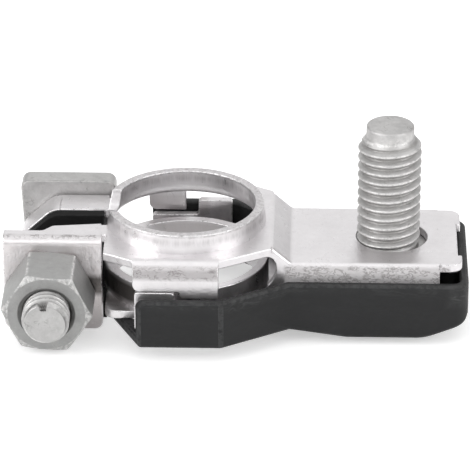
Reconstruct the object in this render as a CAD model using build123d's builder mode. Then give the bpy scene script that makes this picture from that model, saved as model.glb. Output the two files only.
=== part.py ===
from build123d import *
import os
from math import atan, cos, radians, sqrt, tan

# Battery terminal clamp: two stamped plates that grip a battery post, in a moulded tray,
# with a clamping bolt across the ears at -X and a cable stud on the tail at +X.
# Millimetres. The origin is on the post's axis, level with the top rim of the upper collar.

# Sheet metal
sheet = 1.1
bend_inside = 0.1
wing_bend_inside = 0.8
step_bend = 1.0
tail_edge_round = 0.6
drawn_round = 0.8
cut_round = 0.4

# Post and collars
post_radius = 8.85
collar_height = 2.4
collar_wall = 1.1
collar_flare = 0.25
collar_disc = 0.4
collar_rim_round = 0.33
collar_foot_round = 0.35
collar_mouth_round = 1.7
lower_collar_play = 0.5
lower_collar_wall = 1.2
lower_collar_drop = 3.8
lower_collar_height = 3.5
lower_collar_foot = 0.9
lower_base_width = 3.1

# Upper plate, ring part
ring_margin = 4.25
ring_edge_inset = 1.0
front_wing_left = -6.19
front_wing_step = -0.3
front_wing_right = 4.5
back_wing_left = -5.2
back_wing_right = -0.4
wing_drop = 4.7
wing_raise = 0.85
wing_corner = 1.0
notch_side = 10.85
notch_length = 2.2
notch_inner_side = 10.05
notch_inner_gap = 1.05
back_notch_inset = 4.0
shoulder_margin = 0.05

# Upper plate, tail
step_gap = 2.2
step_length = 2.45
step_drop = 2.15
step_corner = 0.3
tail_half_width = 8.1
tail_length = 20.9
tail_flange_inset = 2.3
tail_flange_depth = 5.0
throat_radius = 3.1
throat_reach = 0.55
throat_depth = 1.85
tail_corner_radius = 1.5
tail_corner_tab = 0.5
tail_tab_inset = 0.1
tail_tab_back_inset = 0.5
end_lip_half_width = 3.8
end_lip_middle = -0.9
end_lip_depth = 2.9
lug_hole_play = 0.7
lug_hole_inset = 8.25

# Slot and ears
slot_half_width = 2.15
slot_top_half_width = 3.2
rear_slot_edge = 2.25
ear_depth = 12.8
ear_corner_radius = 1.0
ear_hole_play = 0.3
front_ear_outside = 6.1
front_ear_gap = 1.5
front_ear_length = 12.45
front_arm_length = 7.5
front_arm_nose = 1.7
front_arm_edge = 2.5
front_lip_width = 2.25
arm_step_length = 1.1
arm_step_radius = 0.8
rear_ear_outside = 7.0
rear_ear_gap = 1.15
rear_ear_length = 11.3
rear_bevel = 4.18
rear_bevel_drop = 3.83
rear_bevel_round = 3.0
rear_lip_drop = 6.0

# Lower plate
lower_slot_half_width = 2.2
front_tab_left = -5.97
front_tab_right = -1.0
back_tab_left = -4.8
back_tab_step = 1.2
back_tab_right = 5.6
back_tab_drop = 3.3
back_tab_low_gap = 0.7
tab_corner = 0.5
tab_bend = 1.0
base_side = 9.5
base_ear_gap = 0.45
base_step_side = 3.6
base_corner = 1.3
plate_gap = 0.1

# Clamping bolt and nut, M6
bolt_radius = 3.0
bolt_inset = 6.55
bolt_drop = 6.93
bolt_end = 2.7
bolt_chamfer = 0.6
bolt_clearance = 0.2
head_left = 4.6
head_right_gap = 0.35
head_top = 8.6
head_bottom = 5.4
head_thickness = 3.1
head_corner = 1.1
head_back_round = 0.4
nut_across_flats = 10.0
nut_height = 7.4
nut_corner_bevel = 0.55
nut_corner_play = 0.1
nut_countersink = 0.5
nut_clock = -4.5
nut_clearance = 0.05

# Spacer between the ears
spacer_clearance = 0.15
spacer_corner = 0.5
spacer_front = 0.7
spacer_front_inset = 0.12
spacer_lip_gap = 0.1
spacer_right_gap = 0.1
foot_height = 2.3
foot_reach = 3.0
foot_right_gap = 1.1

# Cable stud, M8
stud_radius = 4.0
stud_neck_inset = 0.2
stud_neck_rise = 0.1
stud_offset = 0.45
stud_length = 15.5
dog_inset = 0.97
dog_length = 1.45
dog_cone = 1.2
dog_round = 0.35
stud_head_play = 0.5
stud_head_height = 5.3
head_clearance = 0.1

# Tray
tray_wall = 1.1
tray_floor = 1.25
tray_ring_clearance = 0.8
tray_tail_clearance = 0.5
tray_end_clearance = 0.25
tray_front_left = -5.4
tray_back_left = -4.4
tray_corner_side = 7.3
tray_oblique_gap = 0.4
tray_end_corner = 2.0
tray_drop = 4.35
tray_ledge = 1.05
tray_wall_corner = 1.0
pocket_depth = 1.0
pocket_before = 5.2
pocket_after = 4.6
pocket_round = 6.0
tray_end_rise = 1.15
tray_end_round = 1.4
rib_width = 1.2
rib_inset = 2.0
rib_overhang = 1.4
seat_radius = 5.85

# How far a cutter runs past what it cuts, and a length that is past everything
past = 1.0
far = 60.0

# Radii of the bends' outer faces
bend_radius = bend_inside + sheet
wing_bend_radius = wing_bend_inside + sheet

# Levels, from the top down
flange_top = -collar_height
flange_bottom = flange_top - sheet
wing_bottom = flange_top - wing_drop
wing_raised_bottom = wing_bottom + wing_raise
ear_bottom = flange_top - ear_depth
bolt_z = flange_top - bolt_drop
tail_top = flange_top - step_drop
tail_bottom = tail_top - sheet
tail_flange_bottom = tail_top - tail_flange_depth
lower_top = flange_bottom - lower_collar_drop
lower_base_top = lower_top - lower_collar_height
lower_base_bottom = lower_base_top - sheet
front_tab_top = wing_raised_bottom - plate_gap
back_tab_top = flange_top - back_tab_drop
back_tab_low_top = wing_bottom - back_tab_low_gap
tray_top = flange_top - tray_drop
tray_bottom = lower_base_bottom - tray_floor
pocket_bottom = tray_bottom - pocket_depth
stud_head_top = tail_bottom - head_clearance
stud_head_bottom = stud_head_top - stud_head_height
stud_tip = tail_top + stud_length

# Places along X
front_ear_right = -post_radius - front_ear_gap
front_ear_left = front_ear_right - front_ear_length
front_arm_left = front_ear_right - front_arm_length
rear_ear_right = -post_radius - rear_ear_gap
rear_ear_left = rear_ear_right - rear_ear_length
rear_flat_left = rear_ear_left + rear_bevel + past
shoulder = -post_radius - shoulder_margin
slot_end = -post_radius + past
bolt_x = front_ear_right - bolt_inset
step_start = post_radius + step_gap
step_end = step_start + step_length
step_shift = sheet * tan(atan(step_drop / step_length) / 2)
tail_end = step_end + tail_length
tail_flange_end = tail_end - tail_flange_inset
tail_tab_end = tail_end + tail_corner_tab
lug_hole_x = tail_end - lug_hole_inset
stud_x = lug_hole_x - stud_offset
tray_front_oblique_start = front_wing_right + tray_oblique_gap
tray_back_oblique_start = back_tab_right + tray_oblique_gap
tray_oblique_end = step_end - tray_oblique_gap / 2
tray_end = tail_end + tray_end_clearance + tray_wall

# Places along Y
wing_half_width = post_radius + ring_margin
wing_bend_side = wing_half_width - wing_bend_radius
ring_edge_side = wing_half_width - ring_edge_inset
front_bend_side = front_ear_outside - bend_radius
front_lip_side = front_ear_outside - front_lip_width
rear_bend_side = rear_ear_outside - bend_radius
nut_front = -front_ear_outside - nut_height
bolt_tip = nut_front - bolt_end
tray_ring_side = wing_half_width + tray_ring_clearance + tray_wall
tray_tail_side = tail_half_width + tray_tail_clearance + tray_wall

# Radii and widths that follow from the sizes above
collar_radius = post_radius + collar_wall
collar_foot_radius = collar_radius + collar_flare
collar_disc_radius = collar_foot_radius + collar_disc
lower_collar_radius = post_radius + lower_collar_play
lower_outside_radius = lower_collar_radius + lower_collar_wall
lower_base_radius = lower_collar_radius + lower_base_width
base_front_left = front_ear_right + base_ear_gap
tray_opening_radius = lower_base_radius - tray_ledge
ear_hole_radius = bolt_radius + ear_hole_play
stud_neck_radius = stud_radius - stud_neck_inset
lug_hole_radius = stud_neck_radius + lug_hole_play
dog_radius = stud_radius - dog_inset
stud_head_flats = 2 * (tail_half_width - sheet - stud_head_play)
bent_width = 2 * sheet


def side_face(y, points, radii=()):
    """A polygon in the upright plane at y, with some corners rounded: (corner number, radius)."""
    with BuildSketch(Plane.XZ.offset(-y)) as face:
        with BuildLine():
            Polyline(*points, close=True)
        make_face()
        for number, radius in radii:
            fillet(face.vertices().sort_by_distance((*points[number], 0))[0], radius)
    return face.sketch


def slab(y_back, depth, points, radii=()):
    """An upright slab from y_back towards -Y, cut to the outline of points."""
    return extrude(side_face(y_back, points, radii), amount=depth, mode=Mode.PRIVATE)


def block(low, high):
    """A box between two opposite corners."""
    size = [b - a for a, b in zip(low, high)]
    middle = [(a + b) / 2 for a, b in zip(low, high)]
    return Pos(*middle) * Box(*size, mode=Mode.PRIVATE)


def bent_strip(outside, radius):
    """The edge of the flat, bent down to an upright face at y = outside, all along X."""
    side = 1 if outside > 0 else -1
    inside = outside - side * sheet
    flat_edge = outside - side * bent_width
    with BuildSketch(Plane.YZ.offset(-far)) as section:
        with BuildLine():
            Polyline(
                (flat_edge, flange_top),
                (outside, flange_top),
                (outside, -far),
                (inside, -far),
                (inside, flange_bottom),
                (flat_edge, flange_bottom),
                close=True,
            )
        make_face()
        fillet(section.vertices().sort_by_distance((outside, flange_top, 0))[0], radius)
        fillet(section.vertices().sort_by_distance((inside, flange_bottom, 0))[0], radius - sheet)
    return extrude(section.sketch, amount=2 * far, mode=Mode.PRIVATE)


def rear_ear_slab(y_back, depth, inset, right, bottom, corner_radius):
    """A slab with the rear ear's bevelled outline, drawn in by inset at the top and the left."""
    left = rear_ear_left + inset
    top = flange_top - inset
    points = [
        (left + rear_bevel, top),
        (right, top),
        (right, bottom),
        (left, bottom),
        (left, top - rear_bevel_drop),
    ]
    bevel_round = rear_bevel_round - inset / 2
    radii = [(0, bevel_round), (2, corner_radius), (3, corner_radius), (4, bevel_round)]
    return slab(y_back, depth, points, radii)


# The collar of the upper plate: a drawn neck that stands up from the flat ring
with BuildPart() as upper_collar:
    with BuildSketch(Plane.XZ) as neck:
        with BuildLine():
            Polyline(
                (post_radius, 0),
                (collar_radius, 0),
                (collar_foot_radius, flange_top),
                (collar_disc_radius, flange_top),
                (collar_disc_radius, flange_bottom),
                (post_radius, flange_bottom),
                close=True,
            )
        make_face()
        corners = neck.vertices()
        fillet(corners.sort_by_distance((post_radius, flange_bottom, 0))[0], collar_mouth_round)
        fillet(corners.sort_by_distance((collar_foot_radius, flange_top, 0))[0], collar_foot_round)
        fillet(corners.sort_by_distance((collar_radius, 0, 0))[0], collar_rim_round)
    revolve(axis=Axis.Z)

# The rear ear, cupped by a lip that follows its bevel
with BuildPart() as rear_ear:
    ear_width = rear_ear_outside - rear_slot_edge
    add(rear_ear_slab(rear_ear_outside, ear_width, 0, rear_ear_right, ear_bottom, ear_corner_radius))
    fillet(rear_ear.faces().sort_by(Axis.Y)[-1].edges(), drawn_round)
    ear_inside = rear_ear_outside - sheet
    add(
        rear_ear_slab(ear_inside, ear_width, sheet, rear_ear_right + past, ear_bottom - past, cut_round),
        mode=Mode.SUBTRACT,
    )
    add(block((-far, 0, -far), (0, ear_inside, flange_top - rear_lip_drop)), mode=Mode.SUBTRACT)

# What the rounded bends take off the square edges of the step and the tail
with BuildPart() as tail_bend:
    with BuildLine(Plane.XZ) as tail_line:
        FilletPolyline(
            (step_start, flange_top),
            (step_end, tail_top),
            (tail_flange_end, tail_top),
            radius=step_bend,
        )
    with BuildSketch(Plane.YZ.offset(step_start)):
        with BuildLine():
            Polyline(
                (tail_half_width, flange_top - tail_edge_round),
                (tail_half_width + past, flange_top - tail_edge_round),
                (tail_half_width + past, flange_top + past),
                (tail_half_width - tail_edge_round, flange_top + past),
                (tail_half_width - tail_edge_round, flange_top),
            )
            RadiusArc(
                (tail_half_width - tail_edge_round, flange_top),
                (tail_half_width, flange_top - tail_edge_round),
                tail_edge_round,
            )
        make_face()
    sweep(path=tail_line.wire(), transition=Transition.RIGHT)
    mirror(about=Plane.XZ)

# The flat of the upper plate, seen from above: tail, ring and both arms
with BuildSketch() as upper_outline:
    arm_step = [
        (front_arm_left + arm_step_length, -front_arm_edge),
        (front_arm_left, -front_lip_side),
    ]
    with BuildLine():
        Polyline(
            (tail_flange_end, -tail_half_width),
            (tail_flange_end, tail_half_width),
            (step_start + step_corner, tail_half_width),
            (front_wing_right, ring_edge_side),
            (front_wing_right, wing_bend_side),
            (back_wing_left, wing_bend_side),
            (shoulder, wing_half_width - back_notch_inset),
            (shoulder, rear_bend_side),
            (rear_flat_left, rear_bend_side),
            (rear_flat_left, rear_slot_edge),
            (rear_ear_right, rear_slot_edge),
            (slot_end, slot_half_width),
            (slot_end, -slot_half_width),
            (front_ear_right, -front_arm_nose),
            *arm_step,
            (front_ear_left, -front_lip_side),
            (front_ear_left, -front_bend_side),
            (shoulder - notch_inner_gap, -front_bend_side),
            (shoulder - notch_inner_gap, -notch_inner_side),
            (front_wing_left - notch_length, -notch_side),
            (front_wing_left, -ring_edge_side),
            (front_wing_left, -wing_bend_side),
            (front_wing_right, -wing_bend_side),
            (front_wing_right, -ring_edge_side),
            (step_start + step_corner, -tail_half_width),
            close=True,
        )
    make_face()
    for x, y in arm_step:
        fillet(upper_outline.vertices().sort_by_distance((x, y, 0))[0], arm_step_radius)
    with Locations(((tail_flange_end + tail_tab_end) / 2, (tail_tab_inset - tail_tab_back_inset) / 2)):
        Rectangle(
            tail_tab_end - tail_flange_end,
            2 * tail_half_width - tail_tab_inset - tail_tab_back_inset,
        )
    fillet(upper_outline.vertices().group_by(Axis.X)[-1], tail_corner_radius)
    with Locations((tail_tab_end, end_lip_middle)):
        Rectangle(2 * tail_corner_tab, 2 * end_lip_half_width + sheet, mode=Mode.SUBTRACT)

# Upper plate
with BuildPart() as upper_plate:
    with BuildSketch(Plane.XZ) as upper_profile:
        with BuildLine():
            Polyline(
                (front_ear_left - past, flange_top),
                (step_start, flange_top),
                (step_end, tail_top),
                (far, tail_top),
                (far, tail_bottom),
                (step_end - step_shift, tail_bottom),
                (step_start - step_shift, flange_bottom),
                (front_ear_left - past, flange_bottom),
                close=True,
            )
        make_face()
        step_corners = upper_profile.vertices().filter_by_position(Axis.X, step_start - sheet, step_end)
        fillet(step_corners, step_bend)
    extrude(amount=far, both=True)
    extrude(upper_outline.sketch, amount=-far, mode=Mode.INTERSECT)
    # Wings, bent down at the front and the back of the ring
    front_wing = slab(
        wing_half_width,
        2 * wing_half_width,
        [
            (front_wing_left, flange_top),
            (front_wing_left, wing_raised_bottom),
            (front_wing_step, wing_raised_bottom),
            (front_wing_step, wing_bottom),
            (front_wing_right, wing_bottom),
            (front_wing_right, flange_top),
        ],
        [(1, wing_corner), (2, cut_round), (3, cut_round)],
    )
    back_wing = slab(
        wing_half_width,
        2 * wing_half_width,
        [
            (back_wing_left, flange_top),
            (back_wing_left, wing_bottom),
            (back_wing_right, wing_bottom),
            (back_wing_right, flange_top),
        ],
        [(1, wing_corner)],
    )
    add(front_wing & bent_strip(-wing_half_width, wing_bend_radius))
    add(back_wing & bent_strip(wing_half_width, wing_bend_radius))
    # Flanges of the tail, with a rounded throat where they meet the ring
    tail_flanges = slab(
        tail_half_width,
        2 * tail_half_width,
        [
            (step_start, flange_top - sheet / 2),
            (step_end, tail_top - sheet / 2),
            (tail_flange_end, tail_top - sheet / 2),
            (tail_flange_end, tail_flange_bottom),
            (step_start - throat_reach, tail_flange_bottom),
            (step_start - throat_reach, flange_top - sheet / 2),
        ],
    )
    between_flanges = block(
        (step_start - throat_reach - past, -tail_half_width + sheet, tail_flange_bottom - past),
        (tail_flange_end + past, tail_half_width - sheet, flange_top),
    )
    throat = Cylinder(throat_radius, far, rotation=(90, 0, 0), mode=Mode.PRIVATE)
    throat_centre = Pos(step_start + throat_reach - throat_radius, 0, flange_bottom - throat_depth)
    add(tail_flanges - between_flanges - throat_centre * throat)
    # Lip across the end of the tail
    add(
        block(
            (tail_end - sheet, end_lip_middle - end_lip_half_width, tail_top - end_lip_depth),
            (tail_end, end_lip_middle + end_lip_half_width, tail_top),
        )
    )
    # Front ear
    front_ear = slab(
        -front_ear_outside + bent_width,
        bent_width,
        [
            (front_ear_left, flange_top),
            (front_ear_right, flange_top),
            (front_ear_right, ear_bottom),
            (front_ear_left, ear_bottom),
        ],
        [(2, ear_corner_radius), (3, ear_corner_radius)],
    )
    add(front_ear & bent_strip(-front_ear_outside, bend_radius))
    add(rear_ear.part)
    add(tail_bend.part, mode=Mode.SUBTRACT)
    # Collar and slot
    with Locations((0, 0, flange_top)):
        Cylinder(collar_foot_radius, 3 * sheet, mode=Mode.SUBTRACT)
    add(upper_collar.part)
    with BuildSketch(Plane.YZ.offset(slot_end)) as slot:
        with BuildLine():
            Polyline(
                (-slot_half_width, flange_bottom - past),
                (-slot_half_width, flange_top),
                (-slot_top_half_width, 0),
                (-slot_top_half_width, past),
                (slot_top_half_width, past),
                (slot_top_half_width, 0),
                (slot_half_width, flange_top),
                (slot_half_width, flange_bottom - past),
                close=True,
            )
        make_face()
    extrude(slot.sketch, amount=-(slot_end + collar_disc_radius), mode=Mode.SUBTRACT)
    # Bolt holes and the hole for the cable stud
    with Locations((bolt_x, 0, bolt_z)):
        Cylinder(ear_hole_radius, far, rotation=(90, 0, 0), mode=Mode.SUBTRACT)
    with Locations((lug_hole_x, 0, tail_top)):
        Cylinder(lug_hole_radius, 4 * sheet, mode=Mode.SUBTRACT)
upper_plate.part.label = "upper_clamp_plate"

# Lower plate: a second neck on a flat base, with a tab at the front and one at the back
with BuildPart() as lower_plate:
    with BuildSketch(Plane.XZ) as lower_neck:
        with BuildLine():
            Polyline(
                (lower_collar_radius, lower_top),
                (lower_outside_radius, lower_top),
                (lower_outside_radius, lower_base_top),
                (lower_base_radius, lower_base_top),
                (lower_base_radius, lower_base_bottom),
                (lower_collar_radius, lower_base_bottom),
                close=True,
            )
        make_face()
        corners = lower_neck.vertices()
        fillet(corners.sort_by_distance((lower_collar_radius, lower_base_bottom, 0))[0], drawn_round)
        fillet(corners.sort_by_distance((lower_outside_radius, lower_base_top, 0))[0], lower_collar_foot)
    revolve(axis=Axis.Z)
    add(
        block(
            (front_tab_left, -wing_half_width, lower_base_bottom),
            (front_tab_right, -lower_outside_radius, lower_base_top),
        )
    )
    neck_kept = Cylinder(lower_outside_radius, far, mode=Mode.PRIVATE)
    base_corner_block = block(
        (base_front_left, -base_side, lower_base_bottom),
        (front_tab_left, -base_step_side, lower_base_top),
    )
    add(base_corner_block - neck_kept)
    add(
        block(
            (back_tab_left, lower_outside_radius, lower_base_bottom),
            (back_tab_right, wing_half_width, lower_base_top),
        )
    )
    add(
        slab(
            -wing_half_width + sheet,
            sheet,
            [
                (front_tab_left, lower_base_bottom),
                (front_tab_left, front_tab_top),
                (front_tab_right, front_tab_top),
                (front_tab_right, lower_base_bottom),
            ],
            [(1, tab_corner), (2, tab_corner)],
        )
    )
    add(
        slab(
            wing_half_width,
            sheet,
            [
                (back_tab_left, lower_base_bottom),
                (back_tab_left, back_tab_low_top),
                (back_tab_step, back_tab_low_top),
                (back_tab_step, back_tab_top),
                (back_tab_right, back_tab_top),
                (back_tab_right, lower_base_bottom),
            ],
            [(1, tab_corner), (2, cut_round), (3, tab_corner), (4, tab_corner)],
        )
    )
    bends = lower_plate.edges().filter_by(Axis.X).group_by(Axis.Z)[0].group_by(Axis.Y)
    fillet(bends[0] + bends[-1], tab_bend)
    # The left of the base is cropped clear of the ears and the bolt's head, but not the neck
    crop_low = lower_base_bottom - past
    crop_high = lower_base_top + lower_collar_foot
    cropped = block((-far, -base_step_side, crop_low), (shoulder, far, crop_high))
    cropped += block((-far, -far, crop_low), (base_front_left, -base_step_side, crop_high))
    cropped += block((-far, -far, crop_low), (front_tab_left, -base_side, crop_high))
    cropped += block((-far, base_side, crop_low), (front_tab_left, far, crop_high))
    add(cropped - Pos(0, 0, lower_base_top + far / 2) * neck_kept, mode=Mode.SUBTRACT)
    base_corners = lower_plate.edges().filter_by(Axis.Z)
    fillet(base_corners.sort_by_distance((base_front_left, -base_side, lower_base_bottom))[0], base_corner)
    # Slot that lets the neck close on the post
    add(
        block(
            (-far, -lower_slot_half_width, lower_base_bottom - past),
            (slot_end, lower_slot_half_width, lower_top + past),
        ),
        mode=Mode.SUBTRACT,
    )
lower_plate.part.label = "lower_clamp_plate"


def oblique_shift(start, wall):
    """How far the corners of an oblique side move towards -X when the wall is drawn in."""
    lean = (tray_ring_side - tray_tail_side) / (tray_oblique_end - start)
    return wall * tan(atan(lean) / 2)


def tray_plan(wall):
    """The tray's outline from above, drawn in by a wall's thickness except at the open left end."""
    ring_side = tray_ring_side - wall
    tail_side = tray_tail_side - wall
    front_shift = oblique_shift(tray_front_oblique_start, wall)
    back_shift = oblique_shift(tray_back_oblique_start, wall)
    past_end = 2 * wall
    with BuildSketch() as plan:
        with BuildLine():
            Polyline(
                (tray_front_left - past_end, -ring_side),
                (tray_front_oblique_start - front_shift, -ring_side),
                (tray_oblique_end - front_shift, -tail_side),
                (tray_end - wall, -tail_side),
                (tray_end - wall, tail_side),
                (tray_oblique_end - back_shift, tail_side),
                (tray_back_oblique_start - back_shift, ring_side),
                (tray_back_left - past_end, ring_side),
                (shoulder - past_end, tray_corner_side),
                (shoulder - past_end, -tray_corner_side),
                close=True,
            )
        make_face()
        fillet(plan.vertices().group_by(Axis.X)[-1], tray_end_corner - wall)
    return plan.sketch


def tray_space(wall, floor, headroom):
    """The tray's space down to its floor: the whole of it, or the hollow inside its walls."""
    end = tray_end - wall
    profile = [
        (-far, tray_top + headroom),
        (end, tray_top + headroom),
        (end, tray_bottom + floor + tray_end_rise),
        (stud_x + pocket_after, pocket_bottom + floor),
        (stud_x - pocket_before, pocket_bottom + floor),
        (step_end, tray_bottom + floor),
        (-far, tray_bottom + floor),
    ]
    radii = [(2, tray_end_round), (3, pocket_round), (4, pocket_round), (5, pocket_round)]
    side_view = slab(far, 2 * far, profile, radii)
    return side_view & extrude(tray_plan(wall), amount=far, both=True, mode=Mode.PRIVATE)


# Insulating tray, open above and at the left
with BuildPart() as tray:
    add(tray_space(0, 0, 0))
    add(tray_space(tray_wall, tray_floor, far), mode=Mode.SUBTRACT)
    with Locations((0, 0, tray_bottom)):
        Cylinder(tray_opening_radius, 4 * tray_floor, mode=Mode.SUBTRACT)
    # Ribs that carry the tail's flanges
    for rib_x in (step_end + rib_inset, tail_flange_end - rib_inset - rib_width):
        for side in (-1, 1):
            outer = side * (tray_tail_side - tray_wall / 2)
            inner = side * (tail_half_width - rib_overhang)
            add(
                block(
                    (rib_x, min(outer, inner), pocket_bottom + tray_floor / 2),
                    (rib_x + rib_width, max(outer, inner), tail_flange_bottom - plate_gap),
                )
            )
    # Seat that carries the stud's head
    with BuildSketch(Plane.XY.offset(stud_head_bottom)):
        with Locations((stud_x, 0)):
            Circle(seat_radius)
    extrude(amount=-(stud_head_bottom - pocket_bottom - tray_floor / 2))
    # The free ends of the tall walls have rounded top corners
    tray_rim = tray.edges().group_by(Axis.Z)[-1]
    for end_x, side in ((tray_front_left, -1), (tray_back_left, 1)):
        wall_end = (end_x, side * (tray_ring_side - tray_wall / 2), tray_top)
        fillet(tray_rim.sort_by_distance(wall_end)[0], tray_wall_corner)
tray.part.label = "insulating_tray"

# Cable stud: a hexagon head under the tail, a thinner neck in its hole, a shank and a dog point
with BuildPart() as stud:
    with BuildSketch(Plane.XZ) as stud_half:
        with BuildLine():
            Polyline(
                (stud_x, stud_head_top),
                (stud_x + stud_neck_radius, stud_head_top),
                (stud_x + stud_neck_radius, tail_top + stud_neck_rise),
                (stud_x + stud_radius, tail_top + stud_neck_rise),
                (stud_x + stud_radius, stud_tip - dog_length - dog_cone),
                (stud_x + dog_radius, stud_tip - dog_length),
                (stud_x + dog_radius, stud_tip),
                (stud_x, stud_tip),
                close=True,
            )
        make_face()
        fillet(stud_half.vertices().sort_by_distance((stud_x + dog_radius, stud_tip, 0))[0], dog_round)
    revolve(axis=Axis((stud_x, 0, 0), (0, 0, 1)))
    with BuildSketch(Plane.XY.offset(stud_head_bottom)):
        with Locations((stud_x, 0)):
            RegularPolygon(stud_head_flats / 2, 6, major_radius=False)
    extrude(amount=stud_head_height)
stud.part.label = "cable_stud"

# Clamping bolt: a flat head behind the rear ear and a shank through both ears
with BuildPart() as bolt:
    with BuildSketch(Plane.XZ.offset(-rear_ear_outside)) as head:
        with BuildLine():
            Polyline(
                (bolt_x - head_left, bolt_z + head_top),
                (shoulder - head_right_gap, bolt_z + head_top),
                (shoulder - head_right_gap, bolt_z - head_bottom),
                (bolt_x - head_left, bolt_z - head_bottom),
                close=True,
            )
        make_face()
        fillet(head.vertices(), head_corner)
    extrude(amount=-head_thickness)
    fillet(bolt.faces().sort_by(Axis.Y)[-1].edges(), head_back_round)
    with BuildSketch(Plane.XZ.offset(-rear_ear_outside)):
        with Locations((bolt_x, bolt_z)):
            Circle(bolt_radius)
    extrude(amount=rear_ear_outside - bolt_tip)
    chamfer(bolt.faces().sort_by(Axis.Y)[0].edges(), bolt_chamfer)
bolt.part.label = "t_bolt"

# Clamping nut, with its corners turned off at both ends
with BuildPart() as nut:
    with BuildSketch(Plane.XZ.offset(front_ear_outside)):
        with Locations((bolt_x, bolt_z)):
            RegularPolygon(nut_across_flats / 2, 6, major_radius=False, rotation=nut_clock)
            Circle(bolt_radius + nut_clearance, mode=Mode.SUBTRACT)
    extrude(amount=nut_height)
    with BuildSketch(Plane.YZ.offset(bolt_x)) as turned_outline:
        nut_corner = nut_across_flats / 2 / cos(radians(30)) + nut_corner_play
        with BuildLine():
            Polyline(
                (-front_ear_outside, bolt_z),
                (-front_ear_outside, bolt_z + nut_corner - 2 * nut_corner_bevel),
                (-front_ear_outside - nut_corner_bevel, bolt_z + nut_corner),
                (nut_front + nut_corner_bevel, bolt_z + nut_corner),
                (nut_front, bolt_z + nut_corner - 2 * nut_corner_bevel),
                (nut_front, bolt_z),
                close=True,
            )
        make_face()
    revolve(axis=Axis((bolt_x, 0, bolt_z), (0, 1, 0)), mode=Mode.INTERSECT)
    mouths = nut.edges().filter_by(GeomType.CIRCLE).sort_by(SortBy.RADIUS)[:2]
    chamfer(mouths, nut_countersink)
nut.part.label = "clamp_nut"

# Spacer: fills the rear ear's cup, covers its lip's edge, stands on a foot under the slot and is
# open at the left
with BuildPart() as spacer:
    spacer_inset = sheet + spacer_clearance
    spacer_back = rear_ear_outside - spacer_inset
    spacer_face = rear_slot_edge - spacer_lip_gap
    neck_left = -sqrt(lower_outside_radius**2 - lower_slot_half_width**2)
    spacer_right = neck_left - spacer_right_gap
    spacer_left = rear_ear_left + spacer_inset
    deep = spacer_back - spacer_front
    add(rear_ear_slab(spacer_back, deep, spacer_inset, spacer_right, ear_bottom, spacer_corner))
    thin = spacer_face - spacer_front
    add(rear_ear_slab(spacer_face, thin, spacer_front_inset, spacer_right, ear_bottom, spacer_corner))
    add(
        block(
            (spacer_left, -foot_reach, ear_bottom),
            (shoulder - foot_right_gap, spacer_back, ear_bottom + foot_height),
        )
    )
    notch = bolt_radius + bolt_clearance
    with Locations((bolt_x, 0, bolt_z)):
        Cylinder(notch, far, rotation=(90, 0, 0), mode=Mode.SUBTRACT)
    add(block((-far, -far, bolt_z - notch), (bolt_x, far, bolt_z + notch)), mode=Mode.SUBTRACT)
spacer.part.label = "ear_spacer"

os.makedirs("parts", exist_ok=True)
for piece in (upper_plate, lower_plate, tray, stud, bolt, nut, spacer):
    export_step(piece.part, f"parts/{piece.part.label}.step")
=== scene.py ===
import bmesh
import bpy
import numpy as np
from mathutils import Matrix, Vector


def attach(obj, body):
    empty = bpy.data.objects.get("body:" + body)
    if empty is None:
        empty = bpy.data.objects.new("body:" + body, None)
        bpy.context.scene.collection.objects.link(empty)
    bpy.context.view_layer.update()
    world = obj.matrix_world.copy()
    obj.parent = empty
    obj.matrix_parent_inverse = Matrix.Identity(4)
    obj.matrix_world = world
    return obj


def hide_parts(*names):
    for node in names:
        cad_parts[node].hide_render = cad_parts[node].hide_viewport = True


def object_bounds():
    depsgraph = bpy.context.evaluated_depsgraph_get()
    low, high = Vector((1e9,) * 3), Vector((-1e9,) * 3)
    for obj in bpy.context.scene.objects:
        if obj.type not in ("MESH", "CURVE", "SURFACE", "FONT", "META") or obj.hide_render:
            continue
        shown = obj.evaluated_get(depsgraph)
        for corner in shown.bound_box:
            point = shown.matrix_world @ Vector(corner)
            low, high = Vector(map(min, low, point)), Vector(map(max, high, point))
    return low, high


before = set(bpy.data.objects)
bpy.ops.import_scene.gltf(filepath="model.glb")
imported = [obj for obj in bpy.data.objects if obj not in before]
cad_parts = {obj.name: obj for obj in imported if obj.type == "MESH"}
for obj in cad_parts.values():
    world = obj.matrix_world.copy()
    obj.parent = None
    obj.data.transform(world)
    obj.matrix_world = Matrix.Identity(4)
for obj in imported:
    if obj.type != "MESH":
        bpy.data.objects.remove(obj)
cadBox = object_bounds()
mm = 0.001
print("frame loaded:", len(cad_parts), "nodes")

# The camera stands at azimuth and elevation in degrees. right, up and away place the collar's
# rim centre in its view, and like lens and sensor they are in millimetres; clip is in metres.
cameraView = {
    "azimuth": 1.5,
    "elevation": 26.52,
    "lens": 281.6,
    "sensor": 36,
    "clip": (0.01, 20),
    "right": -6.246,
    "up": 4.285,
    "away": 465.1,
}


def addCamera(view):
    azimuth = np.radians(view["azimuth"])
    elevation = np.radians(view["elevation"])
    right = Vector((np.cos(azimuth), np.sin(azimuth), 0))
    level = np.cos(elevation)
    forward = Vector((-np.sin(azimuth) * level, np.cos(azimuth) * level, -np.sin(elevation)))
    up = right.cross(forward)
    data = bpy.data.cameras.new("camera")
    data.lens = view["lens"]
    data.sensor_width = view["sensor"]
    data.clip_start, data.clip_end = view["clip"]
    camera = bpy.data.objects.new("camera", data)
    place = -(right * view["right"] + up * view["up"] + forward * view["away"]) * mm
    turn = Matrix((right, up, -forward)).transposed()
    camera.matrix_world = Matrix.Translation(place) @ turn.to_4x4()
    bpy.context.scene.collection.objects.link(camera)
    bpy.context.scene.camera = camera


addCamera(cameraView)
print("camera placed")


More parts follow.
